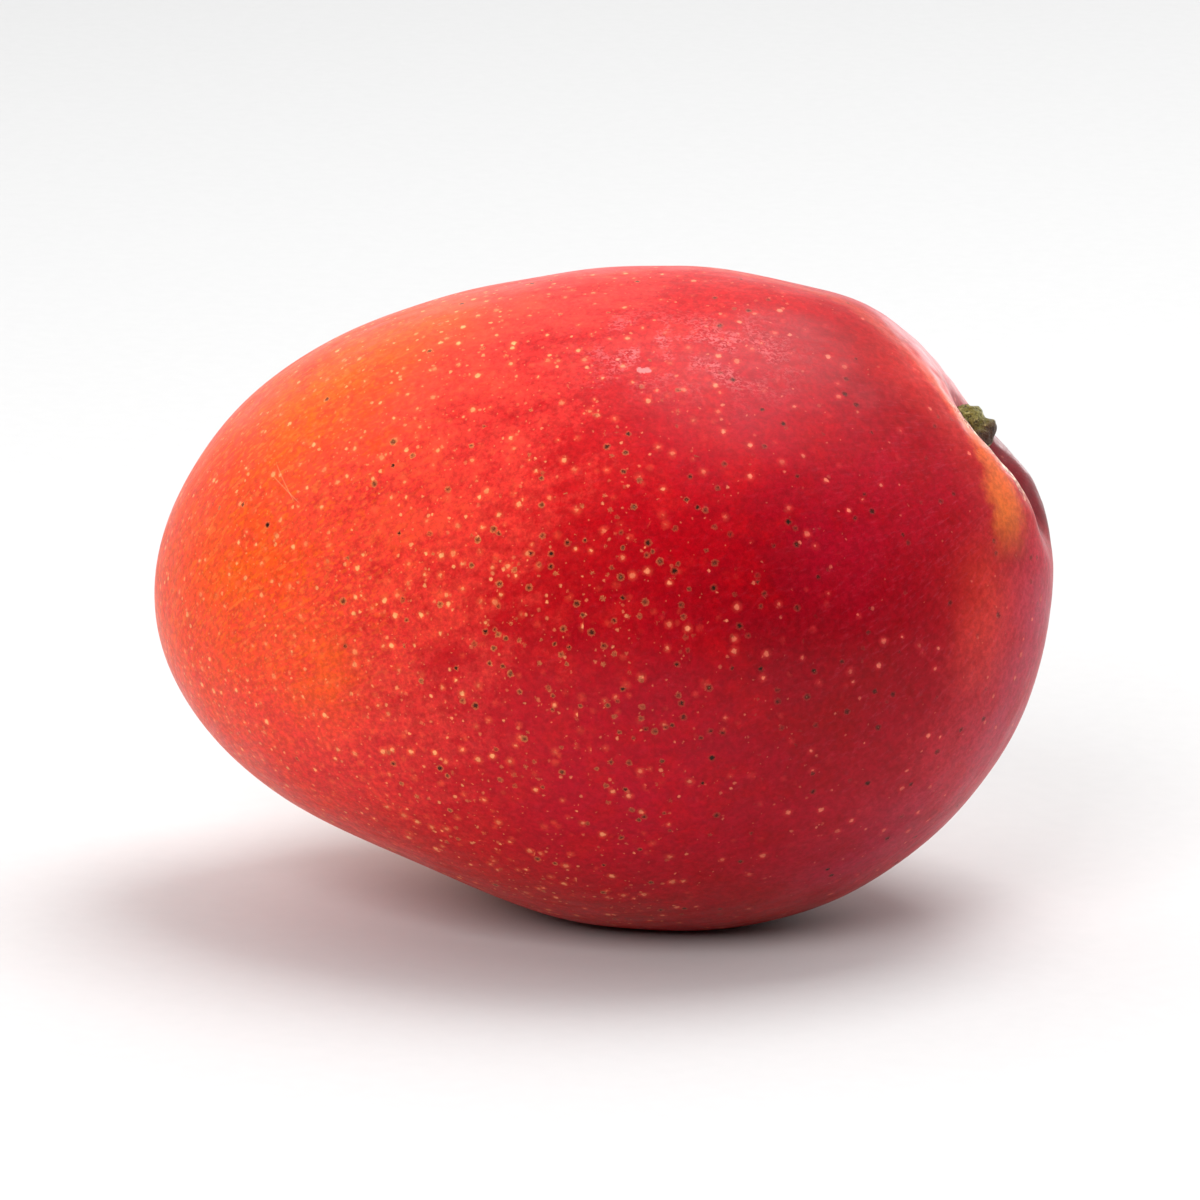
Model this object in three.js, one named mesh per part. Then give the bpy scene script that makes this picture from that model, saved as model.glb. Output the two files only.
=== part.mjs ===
// A whole ripe red mango, lying on its narrow edge, with the remnant of its stalk.
//
// Millimetres, +Z up, origin on the resting surface below the middle of the bounding box.
// +X points to the stem end, -X to the tip, and -Y is the cheek that faces forward.
//
// The fruit is grown from its middle outwards: every direction gets a distance to the skin, which is an
// ellipsoid with broad swellings, a hollow for the stalk, and a groove below it. All of these are given in
// the fruit's own upright frame, by the angle "turn" in its plane of symmetry, from the stem end (+X)
// towards the upper edge (+Z), and by the angle "lean" out of that plane, towards the far cheek (+Y).

import * as THREE from 'three';
import { mergeVertices } from 'three/addons/utils/BufferGeometryUtils.js';

// Driving dimensions.
const HALF_LENGTH = 59.6;
const HALF_WIDTH = 43.6;
const HALF_THICKNESS = 40.5;
const ROLL = 12; // degrees that the upper edge leans towards the far side
const FLAT_DEPTH = 1.3; // how far the fruit's own weight has flattened its lowest point
const FLAT_BLEND = 0.2; // height over which the skin curves into the flat spot
const STEM_TURN = 27;

// Broad swellings (rise above 0) and dips (rise below 0) of the skin. A higher focus is a narrower one.
const SWELLINGS = [
  { name: 'upper shoulder', turn: 54, lean: 0, rise: 6.1, focus: 13.5 },
  { name: 'upper shoulder crest', turn: 47, lean: 0, rise: 1.5, focus: 60 },
  { name: 'lower shoulder', turn: 22, lean: 0, rise: 3.8, focus: 20 },
  { name: 'far shoulder', turn: 18, lean: 12, rise: 0.4, focus: 50 },
  { name: 'back', turn: 90, lean: 0, rise: 0.9, focus: 30 },
  { name: 'back towards the tip', turn: 145, lean: 0, rise: 0.5, focus: 40 },
  { name: 'beak', turn: 184, lean: 0, rise: 0.9, focus: 29 },
  { name: 'dip below the beak', turn: 234, lean: 0, rise: -5.3, focus: 7.3 },
  { name: 'belly', turn: 313, lean: 0, rise: 1.6, focus: 13.5 },
  { name: 'near cheek', turn: 8, lean: -68, rise: 2.0, focus: 6 },
  { name: 'far cheek', turn: 8, lean: 68, rise: 2.0, focus: 6 },
  { name: 'near side of the tip', turn: 180, lean: -48, rise: -2.2, focus: 6 },
  { name: 'far side of the tip', turn: 180, lean: 48, rise: -2.2, focus: 6 },
];

// The hollow that the stalk grows from, the groove that runs down from it, and the shallow dip above it.
const HOLLOW = { rise: -4.6, focus: 120 };
const GROOVE = { rise: -2.6, halfWidth: 0.055, from: 7, to: 33, fade: 9 };
const SADDLE = { rise: -1.7, halfWidth: 0.16, from: 23, to: 78, fade: 22 };

// The stalk's remnant: a low stub of two lobes and a small tip, in a frame of its own at the hollow, where
// x runs down the groove, y runs across it, and z stands up along the stalk.
const STALK_TURN = 38;
const STALK_HEIGHT = 0.9; // of the stub's middle above the hollow's floor
const STALK_LOBES = [
  { name: 'green lobe', centre: [-1.0, 0.0, 1.8], radius: 2.2 },
  { name: 'brown lobe', centre: [1.5, -0.2, 1.6], radius: 1.75 },
  { name: 'tip', centre: [1.3, 0.2, 3.6], radius: 0.9 },
  { name: 'foot', centre: [0.1, 0.0, -0.4], radius: 2.5 },
];
const STALK_SHARPNESS = 3.0; // how clearly the stub's lobes stand apart
const CLEARANCE = 0.45; // between the stub and the floor of the hollow

// How finely the surfaces are faceted, and how much more finely near the stem than at the tip.
const FRUIT_DETAIL = 14;
const STALK_DETAIL = 7;
const STEM_CROWDING = 0.6;

const radians = THREE.MathUtils.degToRad;
const smoothstep = THREE.MathUtils.smoothstep;

// The unit vector at an angle in the plane of symmetry and an angle out of it.
function direction(turn, lean = 0) {
  const flat = Math.cos(radians(lean));
  return new THREE.Vector3(
    flat * Math.cos(radians(turn)),
    Math.sin(radians(lean)),
    flat * Math.sin(radians(turn)),
  );
}

const stemDirection = direction(STEM_TURN);
const swellingDirections = SWELLINGS.map(({ turn, lean }) => direction(turn, lean));

function bump(along, axis, { rise, focus }) {
  return rise * Math.exp(focus * (along.dot(axis) - 1));
}

// A valley that follows the plane of symmetry between two angles and fades out at both ends.
function valley(along, { rise, halfWidth, from, to, fade }) {
  const turn = THREE.MathUtils.radToDeg(Math.atan2(along.z, along.x));
  const across = Math.exp(-((along.y / halfWidth) ** 2));
  return rise * across * smoothstep(turn, from, from + fade) * (1 - smoothstep(turn, to - fade, to));
}

// The distance from the fruit's middle to its skin.
function skinRadius(along) {
  let radius = 1 / Math.hypot(along.x / HALF_LENGTH, along.y / HALF_THICKNESS, along.z / HALF_WIDTH);
  SWELLINGS.forEach((swelling, i) => {
    radius += bump(along, swellingDirections[i], swelling);
  });
  return radius + bump(along, stemDirection, HOLLOW) + valley(along, GROOVE) + valley(along, SADDLE);
}

// Evenly spread unit vectors as one closed mesh.
function sphereOfDirections(detail) {
  const sphere = new THREE.IcosahedronGeometry(1, detail);
  sphere.deleteAttribute('normal');
  sphere.deleteAttribute('uv');
  return mergeVertices(sphere);
}

function moveVertices(geometry, move) {
  const position = geometry.getAttribute('position');
  const point = new THREE.Vector3();
  for (let i = 0; i < position.count; i += 1) {
    point.fromBufferAttribute(position, i);
    move(point);
    position.setXYZ(i, point.x, point.y, point.z);
  }
}

// Turns a direction towards the stem, so that the facets crowd together there.
function crowdTowardsStem(along) {
  const angle = along.angleTo(stemDirection);
  const axis = new THREE.Vector3().crossVectors(along, stemDirection);
  if (axis.lengthSq() > 0) {
    along.applyAxisAngle(axis.normalize(), STEM_CROWDING * Math.sin(angle));
  }
}

// Rests the upright fruit on its narrow edge: it leans back, and its lowest point is pressed flat at z = 0.
function rest(point, lowest) {
  point.applyAxisAngle(new THREE.Vector3(1, 0, 0), -radians(ROLL));
  point.z -= lowest + FLAT_DEPTH;
  if (point.z < -FLAT_BLEND) {
    point.z = 0;
  } else if (point.z < FLAT_BLEND) {
    point.z = (point.z + FLAT_BLEND) ** 2 / (4 * FLAT_BLEND);
  }
}

function fruitGeometry() {
  const geometry = sphereOfDirections(FRUIT_DETAIL);
  moveVertices(geometry, (point) => {
    crowdTowardsStem(point.normalize());
    point.multiplyScalar(skinRadius(point));
  });
  return geometry;
}

// The stub's surface, as the distance from its middle at which the lobes' summed closeness reaches 1.
function stalkPoint(along) {
  const outermost = 8;
  const steps = 40;
  let inside = 0;
  let outside = outermost;
  const probe = new THREE.Vector3();
  const centre = new THREE.Vector3();
  for (let i = 0; i < steps; i += 1) {
    const middle = (inside + outside) / 2;
    probe.copy(along).multiplyScalar(middle);
    const closeness = STALK_LOBES.reduce((sum, lobe) => {
      const distance = probe.distanceTo(centre.fromArray(lobe.centre));
      return sum + Math.exp(STALK_SHARPNESS * (1 - distance / lobe.radius));
    }, 0);
    if (closeness > 1) {
      inside = middle;
    } else {
      outside = middle;
    }
  }
  return probe.copy(along).multiplyScalar(inside);
}

// The stub stands on the hollow's floor, and its underside follows the floor at a small clearance.
function stalkGeometry() {
  const geometry = sphereOfDirections(STALK_DETAIL);
  const up = direction(STALK_TURN);
  const downGroove = direction(STALK_TURN - 90);
  const across = new THREE.Vector3().crossVectors(up, downGroove);
  const frame = new THREE.Matrix4().makeBasis(downGroove, across, up);
  const floor = stemDirection.clone().multiplyScalar(skinRadius(stemDirection));
  const middle = floor.addScaledVector(up, STALK_HEIGHT);
  moveVertices(geometry, (point) => {
    point.copy(stalkPoint(point.normalize())).applyMatrix4(frame).add(middle);
    const along = point.clone().normalize();
    const nearest = skinRadius(along) + CLEARANCE;
    if (point.length() < nearest) {
      point.copy(along).multiplyScalar(nearest);
    }
  });
  return geometry;
}

// The height of the fruit's lowest point once it leans back, before it is pressed flat.
function lowestPoint(geometry) {
  const leaning = geometry.clone();
  leaning.rotateX(-radians(ROLL));
  leaning.computeBoundingBox();
  return leaning.boundingBox.min.z;
}

function finishedMesh(name, geometry, material) {
  geometry.computeVertexNormals();
  const mesh = new THREE.Mesh(geometry, new THREE.MeshStandardMaterial(material));
  mesh.name = name;
  return mesh;
}

const fruit = fruitGeometry();
const stalk = stalkGeometry();
const lowest = lowestPoint(fruit);
for (const geometry of [fruit, stalk]) {
  moveVertices(geometry, (point) => rest(point, lowest));
}

// The origin goes below the middle of the whole mango's box.
const box = new THREE.Box3();
for (const geometry of [fruit, stalk]) {
  geometry.computeBoundingBox();
  box.union(geometry.boundingBox);
}
const middle = box.getCenter(new THREE.Vector3());

const mango = new THREE.Group();
mango.add(finishedMesh('fruit', fruit, { color: 0xc92a2e, roughness: 0.35, metalness: 0 }));
mango.add(finishedMesh('stem_stub', stalk, { color: 0x5c4a22, roughness: 0.8, metalness: 0 }));
mango.children.forEach((mesh) => mesh.position.set(-middle.x, -middle.y, 0));

export default mango;
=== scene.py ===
"""A whole ripe red mango with its stalk's remnant, lying on its narrow edge on a pale studio floor.

The fruit's shape is the same formula as the CAD solid's, at about forty times its facets, with a slight
unevenness. Lengths are in millimetres up to the point where a mesh is made, and in metres from there on.
Materials work in millimetres too, in the fruit's own upright frame: +X is the stem end, -X the tip, -Y the
cheek that faces the camera, and +Z the upper edge.
"""

import math

import bpy
import numpy as np
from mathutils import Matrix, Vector


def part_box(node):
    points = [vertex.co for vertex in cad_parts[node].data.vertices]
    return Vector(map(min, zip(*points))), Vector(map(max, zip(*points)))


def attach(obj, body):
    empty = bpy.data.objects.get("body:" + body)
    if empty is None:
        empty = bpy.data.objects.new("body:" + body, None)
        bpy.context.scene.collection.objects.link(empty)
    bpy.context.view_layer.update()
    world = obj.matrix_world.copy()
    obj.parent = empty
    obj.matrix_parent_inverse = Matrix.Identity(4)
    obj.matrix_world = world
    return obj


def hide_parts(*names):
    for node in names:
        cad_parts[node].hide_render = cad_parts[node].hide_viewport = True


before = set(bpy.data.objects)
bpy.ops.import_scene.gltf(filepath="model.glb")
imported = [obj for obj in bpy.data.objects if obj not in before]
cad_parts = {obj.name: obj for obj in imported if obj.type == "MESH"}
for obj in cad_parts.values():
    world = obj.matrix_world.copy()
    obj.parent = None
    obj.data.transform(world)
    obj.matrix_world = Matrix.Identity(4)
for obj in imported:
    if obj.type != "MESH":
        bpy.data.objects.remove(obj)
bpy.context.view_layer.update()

MM = 0.001
BODY = "root"

# ---------------------------------------------------------------- the fruit's shape, as in the CAD solid

HALF_LENGTH = 59.6
HALF_WIDTH = 43.6
HALF_THICKNESS = 40.5
ROLL = math.radians(12)  # that the upper edge leans towards the far side
FLAT_DEPTH = 1.3  # how far the fruit's own weight has flattened its lowest point
FLAT_BLEND = 0.2  # height over which the skin curves into the flat spot
STEM_TURN = 27

# Broad swellings and dips: angle in the plane of symmetry, angle out of it, rise, and narrowness.
SWELLINGS = (
    (54, 0, 6.1, 13.5),  # upper shoulder
    (47, 0, 1.5, 60),  # upper shoulder's crest
    (22, 0, 3.8, 20),  # lower shoulder
    (18, 12, 0.4, 50),  # far shoulder
    (90, 0, 0.9, 30),  # back
    (145, 0, 0.5, 40),  # back towards the tip
    (184, 0, 0.9, 29),  # beak
    (234, 0, -5.3, 7.3),  # dip below the beak
    (313, 0, 1.6, 13.5),  # belly
    (8, -68, 2.0, 6),  # near cheek
    (8, 68, 2.0, 6),  # far cheek
    (180, -48, -2.2, 6),  # near side of the tip
    (180, 48, -2.2, 6),  # far side of the tip
)
HOLLOW = (STEM_TURN, 0, -4.6, 120)

# Valleys along the plane of symmetry: rise, half width, and the angles where each starts, ends and fades.
GROOVE = (-2.6, 0.055, 7, 33, 9)
SADDLE = (-1.7, 0.16, 23, 78, 22)

# The stalk's remnant: lobes in a frame at the hollow, with x down the groove and z up along the stalk.
STALK_TURN = 38
STALK_HEIGHT = 0.9  # of the stub's middle above the hollow's floor
STALK_SHARPNESS = 3.0  # how clearly the stub's lobes stand apart
STALK_LOBES = (
    ((-1.0, 0.0, 1.8), 2.2),  # green lobe
    ((1.5, -0.2, 1.6), 1.75),  # brown lobe
    ((1.3, 0.2, 3.6), 0.9),  # tip
    ((0.1, 0.0, -0.4), 2.5),  # foot
)
STALK_SINKS = 0.4  # how far the stub's foot grows into the fruit

FRUIT_CELLS = 120  # along each edge of the six patches of the fruit's mesh
STALK_CELLS = 44
STEM_CROWDING = 0.5  # how much finer the fruit's mesh is at the stem than at the tip


def direction(turn, lean=0.0):
    """The unit vector at an angle in the plane of symmetry and an angle out of it, in degrees."""
    turn, lean = math.radians(turn), math.radians(lean)
    return np.array((math.cos(turn) * math.cos(lean), math.sin(lean), math.sin(turn) * math.cos(lean)))


def unit(vectors):
    return vectors / np.linalg.norm(vectors, axis=-1, keepdims=True)


def smoothstep(value, low, high):
    part = np.clip((value - low) / (high - low), 0, 1)
    return part * part * (3 - 2 * part)


def bump(along, turn, lean, rise, focus):
    return rise * np.exp(focus * (along @ direction(turn, lean) - 1))


def valley(along, rise, half_width, start, end, fade):
    turn = np.degrees(np.arctan2(along[:, 2], along[:, 0]))
    across = np.exp(-((along[:, 1] / half_width) ** 2))
    return rise * across * smoothstep(turn, start, start + fade) * (1 - smoothstep(turn, end - fade, end))


def ripple(points, wavelength, seed, waves=24):
    """Smooth random relief of about -1 to 1: many plane waves in random directions."""
    random = np.random.default_rng(seed)
    total = np.zeros(len(points))
    for _ in range(waves):
        way = unit(random.normal(size=3))
        turns = points @ way * random.uniform(0.7, 1.4) / wavelength
        total += np.sin(2 * math.pi * (turns + random.uniform()))
    return total * math.sqrt(2 / waves)


def skin_radius(along):
    """The distance from the fruit's middle to its skin, in each direction."""
    shape = np.array((HALF_LENGTH, HALF_THICKNESS, HALF_WIDTH))
    radius = 1 / np.linalg.norm(along / shape, axis=1)
    for swelling in SWELLINGS:
        radius += bump(along, *swelling)
    return radius + bump(along, *HOLLOW) + valley(along, *GROOVE) + valley(along, *SADDLE)


def lean_back(points):
    """From the upright frame to the resting one."""
    cos, sin = math.cos(ROLL), math.sin(ROLL)
    x, y, z = points.T
    return np.stack((x, y * cos + z * sin, z * cos - y * sin), axis=1)


def press_flat(points):
    """Everything below z = 0 becomes the flat spot, with a short smooth curve into it."""
    z = points[:, 2]
    blend = (z + FLAT_BLEND) ** 2 / (4 * FLAT_BLEND)
    flat = np.where(z < -FLAT_BLEND, 0, np.where(z < FLAT_BLEND, blend, z))
    return np.column_stack((points[:, :2], flat))


# ---------------------------------------------------------------- meshes


def cube_sphere(cells):
    """Unit vectors on six square patches, their quads, and a texture layout of three by two patches."""
    steps = np.tan(np.linspace(-math.pi / 4, math.pi / 4, cells + 1))
    share = np.linspace(0, 1, cells + 1)
    first, second = (grid.ravel() for grid in np.meshgrid(steps, steps, indexing="ij"))
    across, upward = (grid.ravel() for grid in np.meshgrid(share, share, indexing="ij"))
    corner = np.arange((cells + 1) ** 2).reshape(cells + 1, cells + 1)
    around = (corner[:-1, :-1], corner[1:, :-1], corner[1:, 1:], corner[:-1, 1:])
    quads = np.stack(around, axis=-1).reshape(-1, 4)
    points, faces, layout = [], [], []
    margin = 0.004
    width, height = 1 / 3, 1 / 2
    for patch in range(6):
        axis, side = patch % 3, 1 if patch < 3 else -1
        columns = [None] * 3
        columns[axis] = np.full_like(first, side)
        columns[(axis + 1) % 3] = first * side
        columns[(axis + 2) % 3] = second
        points.append(np.stack(columns, axis=1))
        faces.append(quads + patch * len(first))
        left = axis * width + margin
        bottom = (0 if side > 0 else height) + margin
        place = (left + across * (width - 2 * margin), bottom + upward * (height - 2 * margin))
        layout.append(np.stack(place, axis=1))
    return unit(np.concatenate(points)), np.concatenate(faces), np.concatenate(layout)


def weld(points, faces):
    """Joins the corners that the patches share."""
    _, kept, joined = np.unique(np.round(points, 6), axis=0, return_index=True, return_inverse=True)
    return points[kept], joined.reshape(-1)[faces]


def crowd_towards(along, pole, amount):
    """Turns unit vectors towards a pole, so that the mesh is finer there."""
    cosine = np.clip(along @ pole, -1, 1)
    angle = np.arccos(cosine)
    sideways = along - cosine[:, None] * pole
    length = np.linalg.norm(sideways, axis=1, keepdims=True)
    sideways = np.divide(sideways, length, out=np.zeros_like(sideways), where=length > 0)
    angle = (angle - amount * np.sin(angle))[:, None]
    return unit(pole * np.cos(angle) + sideways * np.sin(angle))


def make_piece(name, points, faces, layout, material):
    """A smooth-shaded object with its place in its mesh, from points in millimetres."""
    mesh = bpy.data.meshes.new(name)
    mesh.from_pydata((points * MM).tolist(), [], faces.tolist())
    mesh.polygons.foreach_set("use_smooth", [True] * len(faces))
    uv_map = mesh.uv_layers.new(name="OFBake")
    uv_map.data.foreach_set("uv", layout.ravel())
    mesh.materials.append(material)
    mesh.validate()
    piece = bpy.data.objects.new(name, mesh)
    bpy.context.scene.collection.objects.link(piece)
    return piece


def fruit_points(along):
    """The skin in the upright frame, with the slight unevenness that a formula alone lacks."""
    points = along * skin_radius(along)[:, None]
    reach = 0.28  # radians around the stem where the skin is more uneven
    from_stem = np.arccos(np.clip(along @ direction(STEM_TURN), -1, 1))
    near_stem = np.exp(-((from_stem / reach) ** 2))
    uneven = 0.16 * ripple(points, 46, seed=3) + 0.05 * ripple(points, 17, seed=5)
    uneven += near_stem * (0.10 * ripple(points, 7, seed=7) + 0.04 * ripple(points, 3, seed=11))
    return points + along * uneven[:, None]


def stalk_radius(along):
    """The distance from the stub's middle to its surface: where the lobes' summed closeness reaches 1."""
    outermost = 8.0
    halvings = 30
    inside, outside = np.zeros(len(along)), np.full(len(along), outermost)
    for _ in range(halvings):
        middle = (inside + outside) / 2
        probe = along * middle[:, None]
        closeness = sum(
            np.exp(STALK_SHARPNESS * (1 - np.linalg.norm(probe - centre, axis=1) / radius))
            for centre, radius in STALK_LOBES
        )
        inside = np.where(closeness > 1, middle, inside)
        outside = np.where(closeness > 1, outside, middle)
    return inside


def stalk_points(along):
    """The stub's surface in the upright frame. Its foot follows the hollow's floor, below the skin."""
    knobbly = stalk_radius(along)
    local = along * knobbly[:, None]
    knobbly += 0.10 * ripple(local, 2.2, seed=21) + 0.05 * ripple(local, 0.9, seed=22)
    local = along * knobbly[:, None]
    up, down_groove = direction(STALK_TURN), direction(STALK_TURN - 90)
    stem = direction(STEM_TURN)
    middle = stem * skin_radius(stem[None])[0] + up * STALK_HEIGHT
    points = local @ np.stack((down_groove, np.cross(up, down_groove), up)) + middle
    radius = np.linalg.norm(points, axis=1)
    lowest = skin_radius(unit(points)) - STALK_SINKS
    return unit(points) * np.maximum(radius, lowest)[:, None]


# ---------------------------------------------------------------- placing


def resting_place(points):
    """The fruit's middle in the row frame: the flat spot lies at z = 0, centred in the CAD box."""
    leaning = lean_back(points)
    height = -(leaning[:, 2].min() + FLAT_DEPTH)
    low, high = (np.array(corner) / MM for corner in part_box("fruit"))
    centre = (leaning.min(axis=0) + leaning.max(axis=0)) / 2
    return np.array(((low + high)[0] / 2 - centre[0], (low + high)[1] / 2 - centre[1], height))


# ---------------------------------------------------------------- materials


def srgb(red, green, blue):
    """A colour given as screen values from 0 to 255, as the shader's linear RGBA."""

    def linear(value):
        part = value / 255
        return part / 12.92 if part <= 0.04045 else ((part + 0.055) / 1.055) ** 2.4

    return (linear(red), linear(green), linear(blue), 1.0)


class Material:
    """Short calls that add nodes. An input is a number, a vector, a colour or another node's output."""

    def __init__(self, name):
        self.made = bpy.data.materials.new(name)
        self.made.use_nodes = True
        self.tree = self.made.node_tree
        self.tree.nodes.clear()

    def add(self, kind, inputs=(), **settings):
        node = self.tree.nodes.new(kind)
        for key, value in settings.items():
            setattr(node, key, value)
        for key, value in dict(inputs).items():
            if isinstance(value, bpy.types.NodeSocket):
                self.tree.links.new(value, node.inputs[key])
            else:
                node.inputs[key].default_value = value
        return node

    def math(self, operation, first, second=0.0):
        return self.add("ShaderNodeMath", {0: first, 1: second}, operation=operation).outputs[0]

    def plus(self, first, second):
        return self.math("ADD", first, second)

    def times(self, first, second):
        return self.math("MULTIPLY", first, second)

    def vector(self, operation, first, second=(0, 0, 0)):
        node = self.add("ShaderNodeVectorMath", {0: first, 1: second}, operation=operation)
        return node.outputs["Value" if operation == "DOT_PRODUCT" else "Vector"]

    def scaled(self, vector, amount):
        return self.add("ShaderNodeVectorMath", {0: vector, "Scale": amount}, operation="SCALE").outputs[0]

    def smooth(self, value, low, high, start=0.0, end=1.0):
        """Runs smoothly from start, where value is low, to end, where it is high."""
        inputs = {"Value": value, "From Min": low, "From Max": high, "To Min": start, "To Max": end}
        return self.add("ShaderNodeMapRange", inputs, interpolation_type="SMOOTHSTEP").outputs["Result"]

    def between(self, value, low, full, still_full, high):
        """1 from full to still_full, fading to 0 at low and at high."""
        return self.times(self.smooth(value, low, full), self.smooth(value, high, still_full))

    def mix(self, share, first, second, blend="MIX"):
        inputs = {0: share, 6: first, 7: second}
        return self.add("ShaderNodeMix", inputs, data_type="RGBA", blend_type=blend).outputs[2]

    def noise(self, where, size, detail=3.0, roughness=0.5, distortion=0.0):
        """Noise from 0 to 1 whose blobs are about size across."""
        shape = {"Scale": 1 / size, "Detail": detail, "Roughness": roughness, "Distortion": distortion}
        return self.add("ShaderNodeTexNoise", {"Vector": where} | shape).outputs["Fac"]

    def jittered(self, where, scale, detail, amount):
        """Coordinates moved about at random, which turns round shapes ragged."""
        shape = {"Scale": scale, "Detail": detail}
        jitter = self.add("ShaderNodeTexNoise", {"Vector": where} | shape).outputs["Color"]
        jitter = self.vector("SUBTRACT", jitter, (0.5, 0.5, 0.5))
        return self.vector("ADD", where, self.scaled(jitter, amount))

    def cells(self, where, size):
        """The distance to each cell's middle in units of size, and the cell's random colour."""
        node = self.add("ShaderNodeTexVoronoi", {"Vector": where, "Scale": 1 / size})
        return node.outputs["Distance"], node.outputs["Color"]

    def split(self, colour):
        return self.add("ShaderNodeSeparateColor", {"Color": colour}).outputs

    def glow(self, along, turn, lean, focus):
        """1 in one direction from the fruit's middle, fading around it: the swellings' own formula."""
        axis = tuple(direction(turn, lean))
        nearness = self.math("SUBTRACT", self.vector("DOT_PRODUCT", along, axis), 1.0)
        return self.math("EXPONENT", self.times(nearness, focus))

    def ramp(self, value, stops):
        node = self.add("ShaderNodeValToRGB", {"Fac": value})
        ramp = node.color_ramp
        ramp.interpolation = "EASE"
        while len(ramp.elements) < len(stops):
            ramp.elements.new(0.5)
        for element, (position, colour) in zip(ramp.elements, stops):
            element.position = position
            element.color = colour
        return node.outputs["Color"]

    def upright(self, middle):
        """Where a point is from the fruit's middle, in millimetres, in the upright frame."""
        coordinates = self.add("ShaderNodeTexCoord").outputs["Object"]
        leaning = self.vector("SUBTRACT", coordinates, tuple(middle * MM))
        leaning = self.scaled(leaning, 1 / MM)
        cos, sin = math.cos(ROLL), math.sin(ROLL)
        axes = {"X": (1, 0, 0), "Y": (0, cos, -sin), "Z": (0, sin, cos)}
        parts = {name: self.vector("DOT_PRODUCT", leaning, axis) for name, axis in axes.items()}
        return self.add("ShaderNodeCombineXYZ", parts).outputs[0]

    def finish(self, bump_height, **inputs):
        """The surface shader. bump_height is in millimetres."""
        normal = self.add("ShaderNodeBump", {"Height": bump_height, "Distance": MM, "Strength": 1.0})
        shader = self.add("ShaderNodeBsdfPrincipled", {"Normal": normal.outputs[0]} | inputs)
        output = self.add("ShaderNodeOutputMaterial", {"Surface": shader.outputs[0]})
        output.is_active_output = True
        return self.made


def pores(skin, where, spacing, radius, density):
    """Round pores strewn through the skin: how far out in its pore a point is (0 in the middle, 1 at the
    edge), whether a pore is there, and a random number of its own."""
    distance, chance = skin.cells(where, spacing)
    chance = skin.split(chance)
    own_radius = skin.smooth(chance["Red"], 0, 1, 0.65 * radius / spacing, radius / spacing)
    outwards = skin.math("DIVIDE", distance, own_radius)
    present = skin.math("LESS_THAN", chance["Green"], density)
    return outwards, present, chance["Blue"]


def add_patches(skin, ground, along, softness, patches, colour):
    """Soft patches of one colour: each with its direction, narrowness and strength."""
    for turn, lean, focus, strength in patches:
        patch = skin.times(skin.glow(along, turn, lean, focus), softness)
        ground = skin.mix(skin.times(patch, strength), ground, colour)
    return ground


def lengthwise(skin, where, stretch):
    """Coordinates whose noise is drawn out along lines that run from the tip to the stem."""
    axis = tuple(direction(STEM_TURN - 5))
    from_axis = 40.0  # millimetres from the long axis to the skin, about
    foot = skin.scaled(axis, skin.vector("DOT_PRODUCT", where, axis))
    outwards = skin.vector("NORMALIZE", skin.vector("SUBTRACT", where, foot))
    return skin.vector("ADD", skin.scaled(outwards, from_axis), skin.scaled(foot, stretch))


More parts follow.
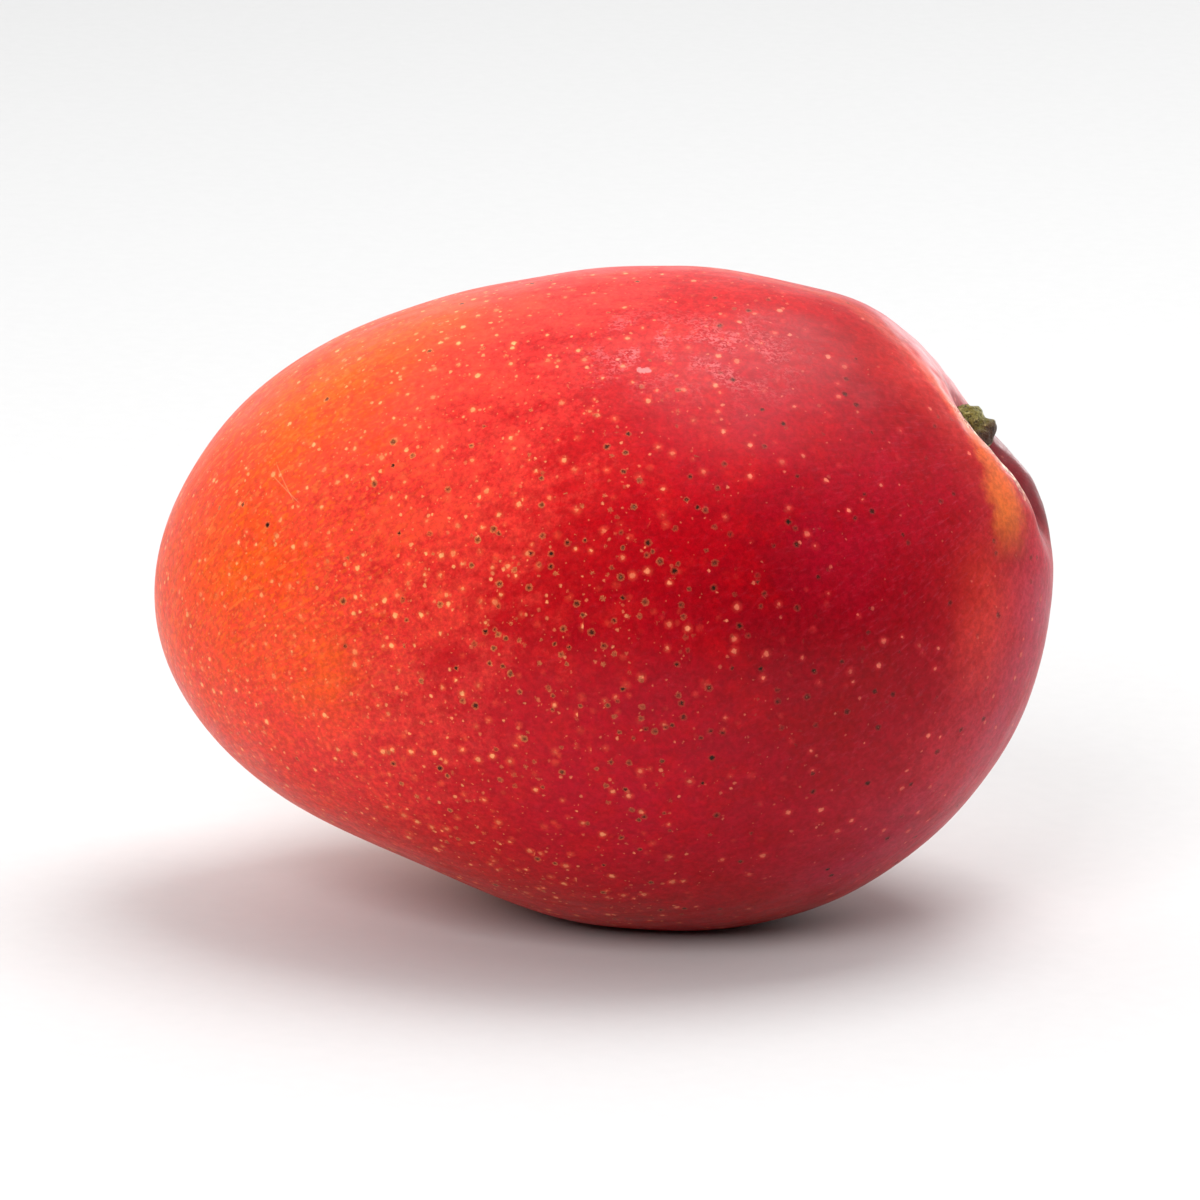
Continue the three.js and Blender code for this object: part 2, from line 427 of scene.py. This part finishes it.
def ground_colour(skin, where, meridian, along, part, grain):
    """Orange red at the tip, scarlet in the middle and crimson at the stem end, blotched and mottled."""
    blotch = skin.noise(where, 22, detail=4, roughness=0.6)
    cloud = skin.noise(where, 7, detail=5, roughness=0.65)
    mottle = skin.noise(where, 2.2, detail=4, roughness=0.7)
    streak = skin.noise(meridian, 2.4, detail=4, roughness=0.6)
    run = skin.plus(skin.times(part["X"], 1 / 120), 0.5)
    # Painted light and shade: the colour runs lighter towards the upper edge and darker towards the lower
    # one.
    run = skin.plus(run, skin.times(part["Z"], -0.003))
    uneven = ((blotch, 0.30), (cloud, 0.36), (mottle, 0.24), (streak, 0.28), (grain, 0.18))
    calmer = skin.smooth(part["X"], 15, 45, 1.0, 0.4)
    for unevenness, amount in uneven:
        unevenness = skin.times(skin.math("SUBTRACT", unevenness, 0.5), amount)
        run = skin.plus(run, skin.times(unevenness, calmer))
    ground = skin.ramp(
        run,
        (
            (0.07, srgb(248, 74, 34)),
            (0.24, srgb(243, 70, 50)),
            (0.34, srgb(228, 56, 46)),
            (0.41, srgb(212, 42, 38)),
            (0.48, srgb(198, 24, 26)),
            (0.64, srgb(188, 4, 16)),
            (0.82, srgb(150, 0, 5)),
            (0.92, srgb(158, 4, 22)),
            (1.00, srgb(196, 34, 46)),
        ),
    )
    soft = skin.smooth(cloud, 0.32, 0.6, 0.35, 1.0)
    streaked = skin.smooth(skin.plus(streak, mottle), 0.82, 1.1, 0.45, 1.0)
    orange = (
        (145, -25, 70, 1.0),
        (132, -23, 90, 0.8),
        (118, -20, 90, 0.6),
        (174, -31, 90, 0.6),
        (196, -44, 110, 0.8),
    )
    ground = add_patches(skin, ground, along, streaked, orange, srgb(255, 98, 0))
    ground = add_patches(skin, ground, along, streaked, ((161, -19, 110, 1.0),), srgb(252, 64, 0))
    core = (
        (10, -46, 20, 0.95),
        (10, -42, 70, 0.4),
        (345, -50, 14, 0.5),
        (346, -80, 22, 0.35),
        (45, -16, 34, 0.5),
    )
    ground = add_patches(skin, ground, along, soft, core, srgb(124, 0, 3))
    ground = add_patches(skin, ground, along, soft, ((216, -32, 22, 0.6),), srgb(222, 36, 50))
    mauve = (
        (42, -36, 12, 0.4),
        (320, -24, 6, 0.4),
        (290, -52, 7, 0.6),
        (15, -38, 60, 0.4),
        (24, -24, 90, 0.5),
    )
    ground = add_patches(skin, ground, along, soft, mauve, srgb(180, 4, 42))
    coral = ((7, -17, 260, 0.4), (1, -17, 260, 0.45), (355, -17, 260, 0.4))
    ground = add_patches(skin, ground, along, soft, coral, srgb(222, 62, 40))
    # Painted reflection: a pinkish sheen along the rim at the stem end and down below it.
    painted_rim_sheen = ((3, -4, 120, 0.7), (350, -6, 60, 0.6), (334, -10, 60, 0.35), (318, -14, 60, 0.25))
    ground = add_patches(skin, ground, along, soft, painted_rim_sheen, srgb(186, 56, 86))
    shaded = skin.smooth(skin.plus(blotch, skin.times(cloud, 0.5)), 0.50, 1.0)
    ground = add_patches(skin, ground, along, shaded, ((250, 62, 3.0, 1.0),), srgb(236, 132, 26))
    return add_patches(skin, ground, along, shaded, ((225, 66, 8.0, 0.9),), srgb(196, 158, 40))


def add_flecks(skin, ground, where, part):
    """Pinkish threads at the stem end, and red blotches and coral, pale and yellow flecks near the tip."""
    at_tip = skin.smooth(part["X"], -8, -40)
    red = skin.smooth(skin.noise(where, 5, detail=4, roughness=0.65), 0.50, 0.64)
    ground = skin.mix(skin.times(skin.times(red, at_tip), 0.45), ground, srgb(234, 48, 40))
    short = lengthwise(skin, where, 0.5)
    threads = skin.smooth(skin.noise(short, 0.7, detail=4, roughness=0.75), 0.50, 0.75)
    threads = skin.times(threads, skin.smooth(part["X"], 25, 54, 0.06, 0.17))
    ground = skin.mix(threads, ground, srgb(214, 84, 108))
    coral = skin.smooth(skin.noise(where, 1.7, detail=3, roughness=0.65), 0.50, 0.62)
    ground = skin.mix(skin.times(skin.times(coral, at_tip), 0.3), ground, srgb(246, 66, 50))
    flecks = skin.noise(short, 0.75, detail=3)
    flecked = skin.times(at_tip, skin.smooth(part["Z"], -20, 0, 0.2, 1.0))
    pale_flecks = skin.times(skin.smooth(flecks, 0.53, 0.68), flecked)
    ground = skin.mix(skin.times(pale_flecks, 0.4), ground, srgb(255, 134, 56))
    yellow_flecks = skin.times(skin.smooth(flecks, 0.46, 0.34), flecked)
    return skin.mix(skin.times(yellow_flecks, 0.35), ground, srgb(255, 124, 0))


def add_pale_pores(skin, ground, where, tipwards):
    """Small pale pores that crowd at the tip, and larger haloed ones."""
    pale = skin.mix(tipwards, srgb(232, 112, 92), srgb(255, 172, 108))
    halo_colour = skin.mix(tipwards, srgb(206, 44, 50), srgb(255, 104, 62))
    wobbly = skin.jittered(where, scale=2.4, detail=2.0, amount=0.45)
    density = skin.plus(skin.times(tipwards, 0.22), 0.03)
    tiny, tiny_here, _ = pores(skin, wobbly, 0.62, 0.20, density)
    tiny_dot = skin.times(skin.smooth(tiny, 1.0, 0.4), tiny_here)
    ground = skin.mix(skin.times(tiny_dot, 0.35), ground, pale)
    density = skin.plus(skin.times(tipwards, 0.42), 0.07)
    fine, fine_here, fine_chance = pores(skin, wobbly, 1.3, 0.36, density)
    fine_dot = skin.times(skin.smooth(fine, 1.0, 0.45), fine_here)
    ground = skin.mix(skin.times(fine_dot, skin.smooth(fine_chance, 0, 1, 0.2, 0.8)), ground, pale)
    density = skin.plus(skin.times(tipwards, 0.50), 0.20)
    big, big_here, big_chance = pores(skin, wobbly, 1.95, 0.48, density)
    halo = skin.times(skin.smooth(big, 2.1, 0.7), big_here)
    ground = skin.mix(skin.times(halo, 0.38), ground, halo_colour)
    big_dot = skin.times(skin.smooth(big, 1.0, 0.5), big_here)
    strength = skin.smooth(big_chance, 0, 1, 0.35, 1.0)
    return skin.mix(skin.times(big_dot, strength), ground, pale), big_dot


def add_dark_pores(skin, ground, where, along, part, tipwards):
    """Pores with a ragged dark eye in a tan ring, which cluster on the near cheek."""
    ragged = skin.jittered(where, scale=5.0, detail=1.0, amount=0.5)
    density = skin.plus(
        skin.times(skin.glow(along, 350, -78, 9), 0.75),
        skin.smooth(part["X"], -45, 0, 0.02, 0.13),
    )
    dark, here, chance = pores(skin, ragged, 1.7, 0.48, density)
    clear = skin.times(skin.smooth(chance, 0, 1, 0.4, 0.95), skin.smooth(tipwards, 0, 0.7, 0.35, 1.0))
    ring = skin.times(skin.smooth(dark, 1.25, 0.95), here)
    ring_colour = skin.mix(tipwards, srgb(146, 62, 54), srgb(222, 130, 76))
    ground = skin.mix(skin.times(ring, clear), ground, ring_colour)
    within = skin.times(skin.smooth(dark, 1.05, 0.75), here)
    within_colour = skin.mix(tipwards, srgb(104, 12, 18), srgb(160, 44, 24))
    ground = skin.mix(skin.times(within, 0.5), ground, within_colour)
    eye = skin.times(skin.smooth(dark, 0.78, 0.42), here)
    darkness = skin.times(skin.smooth(chance, 0, 1, 1.0, 0.55), skin.smooth(part["X"], 50, 35, 0.45, 1.0))
    ground = skin.mix(skin.times(eye, darkness), ground, srgb(38, 24, 14))
    glint = skin.times(skin.smooth(dark, 0.26, 0.08), here)
    glint = skin.times(glint, skin.smooth(chance, 0.3, 0.7, 0, 0.6))
    return skin.mix(glint, ground, srgb(176, 140, 92)), ring, eye


def stem_end_colour(skin, ground, where, along, part):
    """The hollow: an orange band beside its near lip, a painted pale highlight above it, painted shade
    inside it, and flaky corky skin on the lip that is partly painted highlight.
    """
    lip_top = 32.0  # degrees of turn
    lip_slope = 0.17  # millimetres that the band moves out and the cork moves in, for each degree below
    band_offset, cork_offset = 8.6, 8.4  # millimetres towards the near cheek at the lip's top
    turn = skin.math("DEGREES", skin.math("ARCTAN2", part["Z"], part["X"]))
    wander = skin.math("SUBTRACT", skin.noise(where, 2.2, detail=4, roughness=0.7), 0.5)
    below = skin.math("SUBTRACT", lip_top, turn)

    # The orange band beside the lip, and the coral glow around it.
    band = skin.plus(skin.plus(part["Y"], skin.times(below, lip_slope)), band_offset)
    band = skin.math("ABSOLUTE", skin.plus(band, skin.times(wander, 4.0)))
    width = skin.smooth(below, 2, 16, 1.5, 2.8)
    band = skin.smooth(skin.math("DIVIDE", band, width), 1.5, 0.3)
    band = skin.times(band, skin.smooth(below, 24, 15))
    band = skin.times(band, skin.smooth(below, -10, 1, 0.2, 0.85))
    band_colour = skin.mix(skin.smooth(below, 0, 10), srgb(224, 102, 56), srgb(220, 118, 36))
    ground = skin.mix(band, ground, band_colour)
    beside = skin.plus(part["Y"], skin.times(wander, 5.0))
    glow = skin.times(skin.between(beside, -18, -9, -6, -3), skin.between(turn, 8, 20, 36, 52))
    ground = skin.mix(skin.times(glow, 0.4), ground, srgb(236, 70, 62))

    # Beyond the lip: a painted pale highlight above the stub, and painted shade inside the hollow.
    beyond = skin.smooth(skin.plus(part["Y"], skin.times(wander, 3.0)), -5, -2)
    ragged = skin.times(wander, 0.5)
    # Painted highlight: pale pink on the far side above the stub.
    above = skin.plus(skin.glow(along, 41, 4, 40), ragged)
    above = skin.times(skin.smooth(above, 0.3, 0.8), beyond)
    ground = skin.mix(skin.times(above, 0.56), ground, srgb(222, 142, 148))
    # Painted shade: dark red inside the hollow.
    within = skin.plus(skin.glow(along, 20, 3, 60), ragged)
    within = skin.times(skin.smooth(within, 0.2, 0.7), skin.times(beyond, skin.smooth(turn, 32, 27)))
    ground = skin.mix(skin.times(within, 0.78), ground, srgb(96, 2, 20))

    # The flaky cork on the lip itself, whose palest flakes are a painted highlight.
    edge = skin.plus(skin.plus(part["Y"], skin.times(below, -lip_slope)), skin.times(wander, 3.5))
    edge = skin.math("ABSOLUTE", skin.plus(edge, cork_offset))
    flaky = skin.noise(where, 0.8, detail=4, roughness=0.75)
    cork_and_glint = skin.times(skin.smooth(edge, 1.4, 0.8), skin.between(turn, 14, 20, 27, 33))
    cork_and_glint = skin.times(cork_and_glint, skin.smooth(flaky, 0.40, 0.5))
    # Tan cork, running to a near-white painted highlight on the brightest flakes.
    cork_and_glint_colour = skin.mix(skin.smooth(flaky, 0.46, 0.62), srgb(196, 128, 84), srgb(255, 228, 190))
    return skin.mix(skin.times(cork_and_glint, 0.85), ground, cork_and_glint_colour), cork_and_glint


def scratch(skin, along, turn, lean, slant):
    """A fine straight line across one direction from the middle, at an angle to the fruit's length."""
    axis = direction(turn, lean)
    lengthways = unit(np.array((1.0, 0.0, 0.0)) - axis * axis[0])
    slant = math.radians(slant)
    way = lengthways * math.cos(slant) + np.cross(axis, lengthways) * math.sin(slant)
    aside = skin.math("ABSOLUTE", skin.vector("DOT_PRODUCT", along, tuple(np.cross(axis, way))))
    outer, inner = 0.0022, 0.0006  # radians aside where the line has faded out and where it is full
    focus = 400  # narrow, so that the line is short
    near = skin.smooth(skin.glow(along, turn, lean, focus), 0.3, 0.6)
    return skin.times(skin.smooth(aside, outer, inner), near)


def add_marks(skin, ground, where, along):
    """Scuffed wax on the upper shoulder, a small pale spot that is a painted highlight, and scratches that
    cross near the tip.
    """
    drawn_out = skin.vector("MULTIPLY", where, (0.7, 1, 1))
    flakes = skin.noise(drawn_out, 0.42, detail=5, roughness=0.75, distortion=0.8)
    scuffed = skin.plus(skin.glow(along, 77, -33, 110), skin.glow(along, 60, -29, 110))
    scuffed = skin.times(scuffed, skin.smooth(skin.noise(where, 3.5, detail=3), 0.42, 0.58))
    scuffed = skin.times(scuffed, skin.smooth(flakes, 0.47, 0.56))
    ground = skin.mix(skin.times(scuffed, 0.6), ground, srgb(252, 138, 138))
    # Painted highlight: a small pale spot on the upper shoulder, made ragged by the flakes.
    painted_glint_spot = skin.plus(skin.glow(along, 73.8, -38.8, 6000), skin.glow(along, 72.2, -38.4, 8000))
    painted_glint_spot = skin.smooth(skin.plus(painted_glint_spot, skin.times(flakes, 2.2)), 1.75, 1.95)
    ground = skin.mix(skin.times(painted_glint_spot, 0.7), ground, srgb(255, 150, 146))
    scratched = skin.plus(scratch(skin, along, 158, -34, -48), scratch(skin, along, 157, -33, -64))
    return skin.mix(skin.times(scratched, 0.22), ground, srgb(255, 196, 140)), scuffed


def skin_material(middle):
    skin = Material("mango_skin")
    where = skin.upright(middle)
    along = skin.vector("NORMALIZE", where)
    part = skin.add("ShaderNodeSeparateXYZ", {0: where}).outputs
    meridian = lengthwise(skin, where, 0.2)
    tipwards = skin.smooth(part["X"], 45, -25)
    grain = skin.noise(where, 0.55, detail=4, roughness=0.75)

    ground = ground_colour(skin, where, meridian, along, part, grain)
    ground = add_flecks(skin, ground, where, part)
    ground, big_dot = add_pale_pores(skin, ground, where, tipwards)
    ground, ring, eye = add_dark_pores(skin, ground, where, along, part, tipwards)
    ground, cork_and_glint = stem_end_colour(skin, ground, where, along, part)
    shade = skin.noise(where, 0.8, detail=3, roughness=0.7)
    ground = skin.mix(1.0, ground, skin.smooth(shade, 0.30, 0.70, 0.80, 1.13), blend="MULTIPLY")
    ground, scuffed = add_marks(skin, ground, where, along)

    # Slightly uneven wax, with pores that stand a little proud or sink at their eyes, in millimetres.
    relief = ((grain, 0.02), (big_dot, 0.012), (ring, 0.012), (eye, -0.04), (cork_and_glint, 0.15), (scuffed, 0.02))
    height = skin.times(skin.noise(where, 4.5, detail=3), 0.10)
    for pattern, rise in relief:
        height = skin.plus(height, skin.times(pattern, rise))
    rough = skin.smooth(skin.noise(where, 6, detail=5, roughness=0.7), 0.3, 0.7, 0.34, 0.44)
    rough = skin.plus(rough, skin.times(scuffed, 0.12))
    rough = skin.plus(rough, skin.smooth(skin.noise(meridian, 1.5, detail=3), 0.3, 0.7, -0.05, 0.05))
    inputs = {
        "Base Color": ground,
        "Roughness": rough,
        "IOR": 1.42,
        "Specular IOR Level": 0.13,
        "Subsurface Weight": 0.05,
        "Subsurface Radius": (1.0, 0.25, 0.12),
        "Subsurface Scale": 0.002,
        "Coat Weight": 0.13,
        "Coat Roughness": 0.25,
        "Coat IOR": 1.35,
    }
    return skin.finish(height, **inputs)


def stalk_material(middle):
    stalk = Material("dried_stalk")
    where = stalk.upright(middle)
    foot = direction(STEM_TURN) * skin_radius(direction(STEM_TURN)[None])[0]
    local = stalk.vector("SUBTRACT", where, tuple(foot))
    down_groove = stalk.vector("DOT_PRODUCT", local, tuple(direction(STALK_TURN - 90)))
    knobs = stalk.noise(where, 1.1, detail=5, roughness=0.65)
    pits = stalk.noise(where, 0.45, detail=4, roughness=0.7)
    browning = stalk.plus(down_groove, stalk.times(stalk.math("SUBTRACT", knobs, 0.5), 5.0))
    colour = stalk.mix(stalk.smooth(browning, -0.6, 1.6), srgb(128, 118, 44), srgb(86, 54, 30))
    colour = stalk.mix(stalk.smooth(knobs, 0.52, 0.66, 0, 0.7), colour, srgb(206, 190, 116))
    colour = stalk.mix(stalk.smooth(pits, 0.50, 0.36, 0, 0.9), colour, srgb(34, 22, 12))
    height = stalk.plus(stalk.times(knobs, 0.9), stalk.times(pits, 0.4))
    rough = stalk.smooth(pits, 0.3, 0.7, 0.6, 0.32)
    inputs = {"Base Color": colour, "Roughness": rough, "Specular IOR Level": 0.5}
    return stalk.finish(height, **inputs)


# ---------------------------------------------------------------- studio


def add_floor():
    reach = 8.0  # metres to each side
    mesh = bpy.data.meshes.new("floor")
    corners = [(-reach, -reach, 0), (reach, -reach, 0), (reach, reach, 0), (-reach, reach, 0)]
    mesh.from_pydata(corners, [], [(0, 1, 2, 3)])
    paper = Material("floor_paper")
    grain = paper.noise(paper.add("ShaderNodeTexCoord").outputs["Object"], 0.003, detail=2)
    colour = paper.mix(grain, srgb(208, 208, 208), srgb(212, 212, 212))
    inputs = {"Base Color": colour, "Roughness": 0.9, "Specular IOR Level": 0.1}
    mesh.materials.append(paper.finish(0.0, **inputs))
    floor = bpy.data.objects.new("floor", mesh)
    bpy.context.scene.collection.objects.link(floor)


def add_softbox(name, place, target, size, power, in_reflections=True):
    """A rectangular lamp: place, target and size are in metres, and power is in watts."""
    light = bpy.data.lights.new(name, "AREA")
    light.shape = "RECTANGLE"
    light.size, light.size_y = size
    light.energy = power
    lamp = bpy.data.objects.new(name, light)
    lamp.location = place
    lamp.rotation_euler = (Vector(target) - Vector(place)).to_track_quat("-Z", "Y").to_euler()
    lamp.visible_camera = False
    lamp.visible_glossy = in_reflections
    bpy.context.scene.collection.objects.link(lamp)


BRIGHT_WALL = (-0.05, 0.87, 0.49)  # the direction in which the studio is brightest


def add_surroundings():
    """A room that is brightest above and behind the fruit. The camera never sees it darker than pale."""
    world = bpy.data.worlds.new("studio")
    world.use_nodes = True
    tree = world.node_tree
    tree.nodes.clear()
    way = tree.nodes.new("ShaderNodeTexCoord").outputs["Generated"]
    towards = tree.nodes.new("ShaderNodeVectorMath")
    towards.operation = "DOT_PRODUCT"
    towards.inputs[1].default_value = BRIGHT_WALL
    tree.links.new(way, towards.inputs[0])
    fade = tree.nodes.new("ShaderNodeMapRange")
    fade.interpolation_type = "SMOOTHSTEP"
    tree.links.new(towards.outputs["Value"], fade.inputs["Value"])
    for name, value in (("From Min", -0.25), ("From Max", 0.6), ("To Min", 0.04), ("To Max", 1.44)):
        fade.inputs[name].default_value = value
    rays = tree.nodes.new("ShaderNodeLightPath")
    seen = tree.nodes.new("ShaderNodeMath")
    seen.operation = "MAXIMUM"
    tree.links.new(fade.outputs["Result"], seen.inputs[0])
    tree.links.new(rays.outputs["Is Camera Ray"], seen.inputs[1])
    background = tree.nodes.new("ShaderNodeBackground")
    tree.links.new(seen.outputs[0], background.inputs["Strength"])
    output = tree.nodes.new("ShaderNodeOutputWorld")
    tree.links.new(background.outputs[0], output.inputs["Surface"])
    bpy.context.scene.world = world


CAMERA_AZIMUTH = math.radians(10)
CAMERA_ELEVATION = math.radians(15)
CAMERA_DISTANCE = 1.1  # metres
FRAME_WIDTH = 0.160  # metres across the view, at the fruit
AIM_RIGHT, AIM_UP = 0.6, 0.8  # millimetres from the fruit's middle to the middle of the view


def add_camera(middle):
    cos, sin = math.cos(CAMERA_ELEVATION), math.sin(CAMERA_ELEVATION)
    right = Vector((math.cos(CAMERA_AZIMUTH), math.sin(CAMERA_AZIMUTH), 0))
    back = Vector((math.sin(CAMERA_AZIMUTH) * cos, -math.cos(CAMERA_AZIMUTH) * cos, sin))
    up = back.cross(right)
    aim = Vector(middle * MM) + (right * AIM_RIGHT + up * AIM_UP) * MM
    lens = bpy.data.cameras.new("camera")
    lens.sensor_width = 36
    lens.lens = lens.sensor_width * CAMERA_DISTANCE / FRAME_WIDTH
    camera = bpy.data.objects.new("camera", lens)
    camera.location = aim + back * CAMERA_DISTANCE
    camera.rotation_euler = back.to_track_quat("Z", "Y").to_euler()
    bpy.context.scene.collection.objects.link(camera)
    bpy.context.scene.camera = camera


# ---------------------------------------------------------------- the scene

along, faces, layout = cube_sphere(FRUIT_CELLS)
layout = layout[faces.ravel()]
along, faces = weld(along, faces)
skin_points = fruit_points(crowd_towards(along, direction(STEM_TURN), STEM_CROWDING))
middle = resting_place(skin_points)
skin_points = press_flat(lean_back(skin_points) + middle)
fruit = make_piece("mango_fruit", skin_points, faces, layout, skin_material(middle))
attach(fruit, BODY)
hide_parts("fruit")

along, faces, layout = cube_sphere(STALK_CELLS)
layout = layout[faces.ravel()]
along, faces = weld(along, faces)
stub_points = lean_back(stalk_points(along)) + middle
stub = make_piece("stalk_remnant", stub_points, faces, layout, stalk_material(middle))
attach(stub, BODY)
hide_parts("stem_stub")

add_floor()
add_surroundings()
add_softbox("overhead", (0.24, 0.24, 1.14), (0, 0, 0.04), (0.65, 0.65), 8.8)
add_softbox("back_right", (0.36, 1.4, 0.17), (0, 0, 0.05), (0.4, 0.3), 1.6)
add_softbox(
    "front_fill", (-0.30, -1.15, 0.95), (0, 0, 0.04), (0.8, 0.8), 14.3, in_reflections=False
)
add_camera(middle)
bpy.context.scene.view_settings.view_transform = "Standard"
